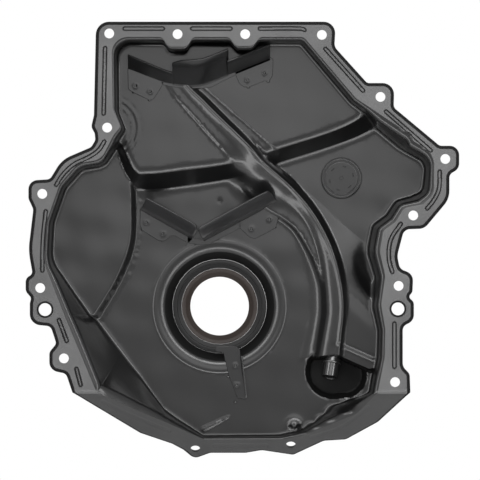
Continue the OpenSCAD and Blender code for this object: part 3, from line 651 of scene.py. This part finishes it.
def shell():
    parts = []
    rings = wall_rings()
    parts.append(band(rings, flip=True))
    well = seal_well_rings()
    parts.append(band(well))

    # floor
    loops = [rings[-1][:, :2], well[0][:, :2], circle(PLUG, PLUG_HOLE_R, 72)]
    grid = hexgrid(-130, 160, -100, 200, COARSE)
    finer = hexgrid(-129.3, 160, -99.6, 200, FINE)
    zf = floor_z(finer)
    eps = 0.6
    gx = np.abs(floor_z(finer + [eps, 0]) - 2 * zf + floor_z(finer - [eps, 0]))
    gy = np.abs(floor_z(finer + [0, eps]) - 2 * zf + floor_z(finer - [0, eps]))
    bowl_near = (np.hypot(finer[:, 0] - 85, finer[:, 1] + 48) < 26)
    small_marks = ((np.hypot(finer[:, 0] + 2, finer[:, 1] + 84) < 14)
                   | (np.hypot(finer[:, 0] - 54, finer[:, 1] + 86) < 9))
    bend = (gx + gy > 0.025) | bowl_near | small_marks
    fine_pts = finer[bend]
    cell = {(int(x // CELL), int(y // CELL)) for x, y in fine_pts}
    keep = np.array([(int(x // CELL), int(y // CELL)) not in cell for x, y in grid])
    # rows of points along the folds, at these distances from them
    rows = [(RISE_LINE, (-0.5, 0, 0.5)), (FACET_LINE[:2], (-0.4, 0, 0.4, 0.8)), (STEP_TOP, (-0.5, 0, 0.5)),
            (STEP_FOOT, (-0.5, 0, 0.5)), (POCKET_EDGE, (-0.6, 0, 0.6)), (POCKET_FOOT, (-0.6, 0, 0.6)),
            (RIDGE_LINE[:, :2], (-2.4, -1.6, -0.8, 0, 0.8, 1.6, 2.4, 3.2, 4, 5, 6)),
            (END_LINE, (-0.6, 0, 0.5, 1.0, 1.5, 2.0, 2.5, 3.1))]
    extra = np.vstack([grid[keep], fine_pts])
    for line, offsets in rows:
        q = resample(line, ROW) if len(line) < 4 else line_points(line, ROW)
        side = normals(np.vstack([q, q[-1:]]))[:-1]
        side[0], side[-1] = side[1], side[-2]
        lines = np.vstack([q + side * o for o in offsets])
        extra = np.vstack([clear_of(extra, lines, 0.6), lines])
    pts, tri = triangulate(loops, extra)
    z = with_bowl(pts, floor_z(pts))
    n = len(loops[0])
    z[:n] = rings[-1][:, 2]
    z[n:n + len(well[0])] = MAIN
    parts.append((np.column_stack([pts, z]), tri.tolist()))

    # flanges with their holes, grooves and collars
    rim = tidy(outline(RIM, 7)[0])
    nrm = normals(rim)
    th = fold_angle(rim[:, 1])
    t3 = np.column_stack([nrm[:, 0] / np.cos(th), nrm[:, 1] * np.cos(th), nrm[:, 1] * np.sin(th)])
    t3 /= np.linalg.norm(t3, axis=1)[:, None]
    up = np.column_stack([np.zeros(len(th)), -np.sin(th), np.cos(th)])
    top = np.column_stack([rim, face_z(rim[:, 1])])
    top[:, 1] -= EDGE_R * (np.sin(th) + np.cos(th) - 1)      # the rounded edge then ends on the drawn outline
    top[:, 2] = face_z(top[:, 1])
    inset = top - EDGE_R * t3
    inset[:, 2] = face_z(inset[:, 1])
    centre = inset - EDGE_R * up
    edge = [inset]
    for a in np.radians([18, 36, 54, 72, 90]):
        edge.append(centre + EDGE_R * (math.sin(a) * t3 + math.cos(a) * up))
    for k in (0.5, 1.0):
        edge.append(centre + EDGE_R * t3 - up * (LIP_H - EDGE_R) * k)
    parts.append(band(edge))
    ca = math.cos(SUMP)
    holes = [circle(p, BOLT_HOLE_R, 36) for p in BOLTS] + [circle(p, DOWEL_HOLE_R, 44) for p in DOWELS]
    holes += [np.array(p) + (circle((0, 0), BOLT_HOLE_R, 36) * [1, ca]) for p in SUMP_HOLES]
    paths = [resample(b, 1.5) for b in BEADS]
    extra = [hexgrid(-145, 180, -112, 208, 2.6)]
    extra[0] = extra[0][np.min([near(extra[0], p, False) for p in paths], axis=0) > 2.6]
    for d in DOWELS:
        extra[0] = extra[0][np.hypot(*(extra[0] - d).T) > 7.6]
        extra += [circle(d, r, 44) for r in (5.15, 5.7, 5.95, 6.6)]
    for p in paths:
        q = normals(np.vstack([p, p[-1:]]))[:-1]
        q[0], q[-1] = q[1], q[-2]
        for o in (-2.1, -1.55, -1.3, -1.05, -0.75, 0, 0.75, 1.05, 1.3, 1.55, 2.1):
            extra.append(p + q * o)
        for e, g in ((p[0], p[0] - p[1]), (p[-1], p[-1] - p[-2])):
            g = g / np.linalg.norm(g)
            for r in (0.4, 0.8, 1.05, 1.3, 1.55, 2.1):
                for a in np.radians([-60, -30, 0, 30, 60]):
                    extra.append((e + r * np.array([g[0] * math.cos(a) - g[1] * math.sin(a),
                                                    g[0] * math.sin(a) + g[1] * math.cos(a)]))[None])
    pts, tri = triangulate([inset[:, :2], rings[0][:, :2]] + holes, np.vstack(extra), keep_out=0.35)
    z = face_z(pts[:, 1])
    dist = np.min([near(pts, p, False) for p in paths], axis=0)
    n = len(inset) + len(rings[0])
    dip = GROOVE_DEPTH * (1 - smooth01((dist - GROOVE_R) / 0.8))
    dip[:n] = 0
    dip = dip * np.where(pts[:, 1] < FOLD_Y, 0.35, 1)
    z = z - dip
    for d in DOWELS:
        r = np.hypot(*(pts - d).T)
        z = z + COLLAR_H * (1 - smooth01((r - COLLAR_R) / 0.25))
    parts.append((np.column_stack([pts, z]), tri.tolist()))

    slots = {EDGE_PART: MATT_SLOT, FLANGE_PART: LIT_FLANGE_SLOT}
    tags = [slots.get(k, SHELL_SLOT) for k, p in enumerate(parts) for _ in p[1]]
    pts, f, tags = weld(*merged(parts), tags)
    ob = make("pressed_shell", pts, f, MAT["shell"])
    for key in ("flange", "shell", "matt", "fold"):
        ob.data.materials.append(MAT[key])
    mid = np.array([np.mean([pts[v] for v in g], axis=0) for g in f])
    # the bowl and the seal well's deep wall take the matt black as painted shade
    shaded_recess = (mid[:, 2] < MAIN - 1.0) & (bowl_distance(mid) < 0.5)
    groove = np.min([near(mid[:, :2], resample(b, 1.1), False) for b in BEADS], axis=0)
    in_groove = (groove > 0.5) & (groove < 1.75) & (mid[:, 1] > FOLD_Y)
    tags = np.where((np.array(tags) == LIT_FLANGE_SLOT) & in_groove, SHELL_SLOT, tags)
    # faces of the folded sump flange take the darker copy: painted shade
    tags = np.where((tags == LIT_FLANGE_SLOT) & (mid[:, 1] < FOLD_Y - 1.2), FOLD_SHADE_SLOT, tags)
    r = np.hypot(mid[:, 0], mid[:, 1])
    shaded_recess |= (r > 33.9) & (r < 39.5) & (mid[:, 2] < MAIN - 1.8)
    collar = np.min([np.hypot(*(mid[:, :2] - d).T) for d in DOWELS], axis=0) < 5.9
    ob.data.polygons.foreach_set("material_index", np.where(shaded_recess | collar, MATT_SLOT, tags).tolist())
    thicken(ob, SHEET, back=BACK_OFFSET)
    return ob


def thicken(ob, t, offset=-1.0, bevel=0.0, back=0):
    # gives a surface its sheet thickness; back moves the material of the side behind by that many slots
    mod = ob.modifiers.new("sheet", "SOLIDIFY")
    mod.material_offset = back
    mod.thickness = t / 1000
    mod.offset = offset
    mod.use_even_offset = False
    if bevel:
        bv = ob.modifiers.new("edge", "BEVEL")
        bv.width = bevel / 1000
        bv.segments = 2
        bv.limit_method = "ANGLE"
        bv.angle_limit = math.radians(50)
    dg = bpy.context.evaluated_depsgraph_get()
    me = bpy.data.meshes.new_from_object(ob.evaluated_get(dg))
    ob.modifiers.clear()
    old, ob.data = ob.data, me
    bpy.data.meshes.remove(old)
    me.name = ob.name
    me.shade_smooth()
    me.set_sharp_from_angle(angle=math.radians(SHARP))


pressed = shell()
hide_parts("cover_shell")


# ---------- turned pieces ----------

def revolve(prof, n=128):
    # turns a profile of radius and height around the axis
    rings = [np.column_stack([circle((0, 0), max(r, 1e-4), n, clockwise=True), np.full(n, z)])
             for r, z in prof]
    return band(rings)


def softened(prof, r=0.35, n=3):
    # closed profile with small fillets at its corners
    c = [[p[0], p[1], (p[2] if len(p) > 2 else r)] for p in prof]
    k = len(c)
    return np.vstack([corner(c[i - 1], c[i], c[(i + 1) % k], c[i][2], n) for i in range(k)])


SEAL_RECESS = 9.0         # the seal case lies this deep below the main floor
SEAL_Z = MAIN - SEAL_RECESS
case = softened([(27.5, SEAL_Z - 0.6, 0.5), (30.4, SEAL_Z - 0.6, 0.25), (30.7, SEAL_Z, 0.3),
                 (33.9, SEAL_Z, 0.8), (33.9, SEAL_Z - 9, 0.4), (31.5, SEAL_Z - 9, 0.4),
                 (31.5, SEAL_Z - 2.5, 0.8), (27.5, SEAL_Z - 2.5, 0.4)])
pts, f = revolve(list(case) + [case[0]], 160)
make("seal_ring", pts, f, MAT["case"], node="seal_case", slot="seal_case_rubber")

LIP_Z = SEAL_Z - 0.6
lip = softened([(27.4, LIP_Z - 0.2, 0.3), (26.2, LIP_Z - 0.35, 0.5), (24.6, LIP_Z - 1.2, 0.6),
                (22.6, LIP_Z - 2.9, 0.5), (21.2, LIP_Z - 4, 0.25), (21.2, LIP_Z - 6, 0.2),
                (22.5, LIP_Z - 7, 0.3), (23.4, LIP_Z - 5.4, 0.5), (25.0, LIP_Z - 3.2, 0.6),
                (27.4, LIP_Z - 2, 0.3)])
pts, f = revolve(list(lip) + [lip[0]], 160)
make("seal_rubber_lip", pts, f, MAT["lip"], node="seal_lip", slot="seal_lip_rubber")


def plug():
    prof = [(0.05, 0.0), (0.8, 0.0), (1.0, 0.0), (1.1, 0.15), (1.5, 0.15), (1.6, 0.0), (2.0, 0.0),
            (11.1, 0.0), (11.45, 0.0), (11.75, -0.15), (11.9, -1.2), (12.8, -1.2), (12.95, -0.15),
            (13.2, 0.0), (13.5, 0.0), (13.7, 0.0), (14.1, -0.15), (14.35, -0.6), (14.45, -1.8),
            (17.4, -1.9), (17.5, -2.2), (17.4, -3.1), (14.9, -3.2), (14.8, -6.4), (14.5, -6.7),
            (13.7, -6.7), (13.5, -6.3), (13.5, -1.6), (0.05, -1.5)]
    pts, f = revolve(prof, 120)
    marks = []
    square = ((-1, -1), (1, -1), (1, 1), (-1, 1))
    for k in range(6):
        a = math.radians(15 + 60 * k)
        e, g = np.array([math.cos(a), math.sin(a)]), np.array([-math.sin(a), math.cos(a)])
        base = 8.7 * e
        lo = [base + 0.42 * e * i + 1.3 * g * j for i, j in square]
        hi = [base + 0.2 * e * i + 1.1 * g * j for i, j in square]
        marks.append(([[*p, -0.02] for p in lo] + [[*p, 0.28] for p in hi],
                      [[4, 5, 6, 7]] + [[i, (i + 1) % 4, 4 + (i + 1) % 4, 4 + i] for i in range(4)]))
    pts, f = merged([(pts, f)] + marks)
    return pts + [PLUG[0], PLUG[1], MAIN], f


make("press_in_plug", *plug(), MAT["plug"], sharp=35, node="inspection_plug", slot="plug_steel")


TUBE_AT, TUBE_LEAN, TUBE_SLANT = (82, -36, -47), -106, 9      # its place in mm and two angles in degrees


def on_tube(pts):
    m = (Matrix.Translation(TUBE_AT) @ Matrix.Rotation(math.radians(TUBE_LEAN), 4, "X")
         @ Matrix.Rotation(math.radians(TUBE_SLANT), 4, "Y"))
    m = np.array(m)
    return np.asarray(pts) @ m[:3, :3].T + m[:3, 3]


tube = softened([(6, 5.9, 0.3), (6, -4.9, 0.2), (7.3, -5.0, 0.5), (7.3, -6.4, 0.5), (6, -6.5, 0.2),
                 (6, -16, 0.35), (5, -16, 0.35), (5, 5.9, 0.3)])
pts, f = revolve(list(tube[::-1]) + [tube[-1]], 72)
make("guide_tube", on_tube(pts), [g[::-1] for g in f], MAT["tube"], node="dipstick_guide_tube",
     slot="tube_paint")


# ---------- bent sheet pieces ----------
THIN_SHEET, THIN_BEVEL = 1.2, 0.18


def wall_strip(stations, floor, lean, profile, step=2.0):
    # a leaning wall: stations hold x, y of the foot and the height
    # profile holds the shares of height and lean
    p = resample(stations, step)
    rows = []
    for x, y, h in p:
        rows.append([[x + lean[0] * h * s, y + lean[1] * h * s, floor + h * k] for k, s in profile])
    rows = np.array(rows)
    m, k = rows.shape[:2]
    pts = rows.reshape(-1, 3)
    faces = [[i * k + j, (i + 1) * k + j, (i + 1) * k + j + 1, i * k + j + 1]
             for i in range(m - 1) for j in range(k - 1)]
    return pts, faces


def tab_plate(c, floor, t, dimples=(), step=1.5):
    lp = tidy(outline(c, 4, step=1.4)[0], 0.12)
    lo, hi = lp.min(0), lp.max(0)
    extra = [hexgrid(lo[0], hi[0], lo[1], hi[1], step)]
    for d in dimples:
        extra[0] = extra[0][np.hypot(*(extra[0] - d).T) > 2.6]
        extra += [circle(d, r, 16) for r in (0.45, 0.8, 1.15, 1.5, 2.0)] + [np.array([d], float)]
    pts, tri = triangulate([lp], np.vstack(extra), keep_out=0.3)
    z = np.full(len(pts), floor + t)
    for d in dimples:
        r = np.hypot(*(pts - d).T)
        z = z - 0.55 * (1 - smooth01((r - 0.45) / 0.75)) + 0.16 * np.exp(-((r - 1.5) / 0.3) ** 2)
    n = len(lp)
    rim0 = np.column_stack([lp, np.full(n, floor + t)])
    z[:n] = floor + t
    turn = (lp[:, 0] * np.roll(lp[:, 1], -1) - np.roll(lp[:, 0], -1) * lp[:, 1]).sum()
    nrm = -normals(lp) if turn > 0 else normals(lp)      # outwards either way round
    rings = [rim0, np.column_stack([lp + nrm * 0.2, np.full(n, floor + t - 0.08)]),
             np.column_stack([lp + nrm * 0.3, np.full(n, floor + t - 0.35)]),
             np.column_stack([lp + nrm * 0.3, np.full(n, floor + 0.02)])]
    return weld(*merged([(np.column_stack([pts, z]), tri.tolist()), band(rings, flip=turn < 0)]))


def weld_blob(x, y, floor, r=1.1, h=0.8, n=12):
    prof = [(0.02, h), (0.5 * r, 0.9 * h), (0.85 * r, 0.55 * h), (r, 0.0)]
    rings = [np.column_stack([circle((0, 0), a, n, clockwise=True) * [1.15, 0.9] + [x, y],
                              np.full(n, floor + z)])
             for a, z in prof]
    return band(rings)


# sections of the baffles' walls: shares of height and lean
FOOTED = [(0.0, -0.10), (0.02, -0.035), (0.06, 0.02), (0.14, 0.11), (0.4, 0.39), (0.7, 0.69), (1.0, 1.0)]
KINKED = [(0.0, -0.08), (0.03, -0.02), (0.08, 0.02), (0.2, 0.07), (0.4, 0.17), (0.5, 0.25), (0.58, 0.36),
          (0.8, 0.69), (1.0, 1.0)]


def baffle(name, node, walls, tabs, blobs, floor, profile, mat):
    # walls hold stations and lean, tabs an outline and its dimples, blobs the welds' x, y and height
    t = THIN_SHEET
    for i, (stations, lean) in enumerate(walls):
        pts, f = wall_strip(stations, floor + t * 0.9, lean, profile)
        ob = make("%s_wall_%d" % (name, i), pts, f, mat)
        thicken(ob, t * 0.9, bevel=THIN_BEVEL)
        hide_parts(node)
    parts = [tab_plate(c, floor, t, d) for c, d in tabs]
    parts += [weld_blob(x, y, floor + z) for x, y, z in blobs]
    pts, f = merged(parts)
    make(name + "_tabs", pts, f, MAT["baffle"], sharp=50, node=node, slot="baffle_paint")


UPPER_H = 24.0
baffle("upper_baffle", "upper_oil_baffle",
       [([[-66, 172, 0.5 * UPPER_H], [-41.5, 162.5, 0.46 * UPPER_H], [-33, 160.6, 0.42 * UPPER_H]],
         (0, 0.73)),
        ([[-34, 160.8, 0.8 * UPPER_H], [-27, 160, 0.95 * UPPER_H], [-19.5, 159.5, UPPER_H],
          [-10, 161, UPPER_H], [6.5, 167.6, UPPER_H]], (0, 0.72)),
        ([[6, 167.4, 0.72 * UPPER_H], [36.5, 179.5, 0.72 * UPPER_H]], (0, 0.5))],
       [([[-66, 172.4, 0.5], [-40, 162.3, 0.5], [-44.5, 154.5, 2], [-48, 149.5, 1.5], [-50.5, 149, 1.5],
          [-61.5, 154.2, 2], [-65.5, 156.5, 2.5]], [(-60.5, 159), (-50, 155)]),
        ([[-41, 163, 0.5], [-33, 161, 1], [-19, 160.2, 3], [-10, 161.5, 1], [36.5, 180, 0.4],
          [36.5, 177.5, 0.4], [11.5, 167.3, 1], [-7, 158, 3], [-20, 157.3, 4], [-33, 158.4, 2],
          [-42, 160.5, 1]], []),
        ([[11, 169.3, 0.4], [36.5, 179.8, 0.4], [38.5, 178, 1], [38, 166.5, 3], [35.5, 162.5, 1.5],
          [32.5, 163, 1.5], [21, 158.3, 2], [17.5, 158.5, 1.5], [14.5, 161, 1.5]],
         [(32.5, 168.5), (20, 163.5)])],
       [(-61.8, 154.3, 0.3), (-50.4, 148.9, 0.3), (35.2, 162.2, 0.3), (20.8, 158.0, 0.3)], UPPER, FOOTED,
       MAT["baffle"])
LOWER_H = 20.0
# the lower baffle takes the lighter copy of the black paint: painted light
baffle("lower_baffle", "lower_oil_baffle",
       [([[-57, 70, 0.94 * LOWER_H], [-24, 51.3, LOWER_H], [-19.5, 48.8, 0.72 * LOWER_H]], (0.23, 0.42)),
        ([[-11.5, 47.3, 0.85 * LOWER_H], [-7, 49.7, LOWER_H], [36, 72.8, LOWER_H],
          [41, 75.5, 0.7 * LOWER_H]], (-0.23, 0.42))],
       [([[-57, 70.6, 0.5], [-19, 49.2, 0.5], [-22.5, 46, 1], [-32.5, 51.3, 2], [-35.5, 51.3, 2],
          [-39, 48, 1.5], [-41.5, 47.5, 1.2], [-44.5, 48, 1.5], [-55.5, 55, 2], [-57.3, 58.8, 2]],
         [(-53, 60.5), (-41, 52.5)]),
        ([[-23, 51.5, 0.4], [-19, 49.2, 0.5], [-12, 47.6, 0.5], [15, 62, 0.4], [15, 57, 0.4], [-8, 45, 2],
          [-16, 44.8, 2], [-23, 46.2, 1]], []),
        ([[14.5, 61.8, 0.4], [41, 76, 0.5], [42, 62.5, 2.5], [40.5, 57, 2], [38, 55.5, 1.5], [25.5, 49, 1.5],
          [21.5, 50.5, 1.5], [14.5, 57, 1]], [(36, 63), (23, 56)])],
       [(39.8, 57.2, 0.3), (25.4, 50.4, 0.3), (-41.5, 47.6, 0.3), (-55.6, 55.2, 0.3)], MAIN, KINKED,
       MAT["low_baffle_lit"])
pts, f = merged([tab_plate([[-3, -29.5, 1], [12, -29.2, 2], [14.5, -31.5, 1.5], [15.7, -44, 3],
                            [19, -67, 0.5], [13, -66, 0.5], [7, -50, 6], [4, -38, 6], [3, -33, 1],
                            [-3, -32, 1]], MAIN, THIN_SHEET, [(11.5, -43), (12.5, -57)]),
                 weld_blob(6.3, -51, MAIN + 0.3), weld_blob(11.4, -69.3, MAIN + 0.1)])
make("drip_tab_plate", pts, f, MAT["baffle"], sharp=50, node="oil_drip_tab", slot="baffle_paint")
pts, f = wall_strip([[18.6, -66, 2], [15, -36, 5]], MAIN + 0.6, (0.1, 0), [(0, 0), (0.5, 0.5), (1, 1)])
ob = make("drip_tab_edge", pts, f, MAT["baffle"])
thicken(ob, 1.1, offset=1.0, bevel=THIN_BEVEL)
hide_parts("oil_drip_tab")


# ---------- studio ----------

def seen_directly(nt):
    # 1 for camera, glossy and transmission rays, 0 for the light that falls on the object
    path = nt.nodes.new("ShaderNodeLightPath")
    last = path.outputs["Is Camera Ray"]
    for ray in ("Is Glossy Ray", "Is Transmission Ray"):
        both = nt.nodes.new("ShaderNodeMath")
        both.operation = "MAXIMUM"
        nt.links.new(last, both.inputs[0])
        nt.links.new(path.outputs[ray], both.inputs[1])
        last = both.outputs[0]
    return last


def plain(name, colour, show):
    # pale surface; seen directly it shows a pale grey of its own, and it still takes the object's shadow
    m = bpy.data.materials.new(name)
    m.use_nodes = True
    nt = m.node_tree
    bsdf = nt.nodes["Principled BSDF"]
    bsdf.inputs["Base Color"].default_value = (*colour, 1)
    bsdf.inputs["Roughness"].default_value = 0.9
    bsdf.inputs["Emission Color"].default_value = (*colour, 1)
    glow = nt.nodes.new("ShaderNodeMath")
    glow.operation = "MULTIPLY"
    glow.inputs[1].default_value = show
    nt.links.new(seen_directly(nt), glow.inputs[0])
    nt.links.new(glow.outputs[0], bsdf.inputs["Emission Strength"])
    return m


def plane(name, centre, size, rot, mat):
    w, h = size[0] / 2, size[1] / 2
    me = bpy.data.meshes.new(name)
    me.from_pydata([(-w, -h, 0), (w, -h, 0), (w, h, 0), (-w, h, 0)], [], [(0, 1, 2, 3)])
    ob = bpy.data.objects.new(name, me)
    ob.location = centre
    ob.rotation_euler = rot
    me.materials.append(mat)
    bpy.context.scene.collection.objects.link(ob)
    return ob


FLOOR_Z, FLOOR_SIZE = -0.8, 30          # metres
plane("floor", (0, 0, FLOOR_Z), (FLOOR_SIZE, FLOOR_SIZE), (0, 0, 0),
      plain("pale_floor", (0.82, 0.82, 0.82), 0.8))


def softbox(name, at, aim, size, power):
    li = bpy.data.lights.new(name, "AREA")
    li.shape = "RECTANGLE"
    li.size, li.size_y = size
    li.energy = power
    ob = bpy.data.objects.new(name, li)
    ob.location = at
    ob.rotation_euler = (Vector(aim) - Vector(at)).to_track_quat("-Z", "Y").to_euler()
    ob.visible_camera = False
    bpy.context.scene.collection.objects.link(ob)
    return ob


def facing(at, aim, a):
    # turns a long box so that it lies along the circle around the camera's axis
    to = (Vector(aim) - Vector(at)).normalized()
    along = Vector((-math.sin(a), 0, math.cos(a)))
    return Matrix((along, along.cross(to), -to)).transposed().to_euler()


# places and sizes in metres; the power of a box is its radiance * pi * its area
AIM = (0.0, -0.03, 0.04)
FRONT_AT, FRONT_BOX, FRONT_AREA, FRONT_RADIANCE = (0.12, -1.7, 0.35), (0.8, 0.62), 0.5, 2.3
RING_R, RING_Y, RING_Z = 0.84, -1.06, 0.05
RING_BOX, RING_AREA = (0.64, 0.28), 0.18
softbox("front", FRONT_AT, AIM, FRONT_BOX, FRONT_RADIANCE * math.pi * FRONT_AREA)
# each side's place on the ring in degrees, and its radiance
RING = {"n": (90, 12), "ne": (45, 11), "e": (0, 7.5), "se": (-45, 7),
        "s": (-90, 10), "sw": (-135, 7.5), "w": (180, 7), "nw": (135, 8.5)}
for side, (degrees, radiance) in RING.items():
    a = math.radians(degrees)
    at = (RING_R * math.cos(a), RING_Y, RING_Z + RING_R * math.sin(a))
    ring = softbox("ring_" + side, at, AIM, RING_BOX, radiance * math.pi * RING_AREA)
    ring.rotation_euler = facing(at, AIM, a)
softbox("behind", (0.5, 1.6, 1.2), AIM, (1.4, 1.0), 8)

studio = bpy.data.worlds.new("studio")
bpy.context.scene.world = studio
studio.use_nodes = True
nt = studio.node_tree
bg = nt.nodes["Background"]
level = nt.nodes.new("ShaderNodeMapRange")
level.inputs["To Min"].default_value = 0.12
level.inputs["To Max"].default_value = 1.0
nt.links.new(seen_directly(nt), level.inputs["Value"])
nt.links.new(level.outputs["Result"], bg.inputs["Strength"])
bg.inputs["Color"].default_value = (1, 1, 1, 1)

DIST, SENSOR = 6.0, 36                       # metres to the flange face, sensor width in mm
PIXEL, PICTURE = 0.000717, 480               # metres a pixel, pixels a side
CRANK_PX = (219.4, 306.8)                    # where the crank axis lies in the picture
cam = bpy.data.cameras.new("camera")
cam.sensor_width = SENSOR
cam.lens = SENSOR * DIST / (PICTURE * PIXEL)
cam.clip_end = 50
rig = bpy.data.objects.new("camera", cam)
rig.location = ((PICTURE / 2 - CRANK_PX[0]) * PIXEL, FACE_Y / 1000 - DIST,
                (CRANK_PX[1] - PICTURE / 2) * PIXEL)
rig.rotation_euler = (math.pi / 2, 0, 0)
bpy.context.scene.collection.objects.link(rig)
bpy.context.scene.camera = rig
bpy.context.scene.view_settings.view_transform = "Standard"
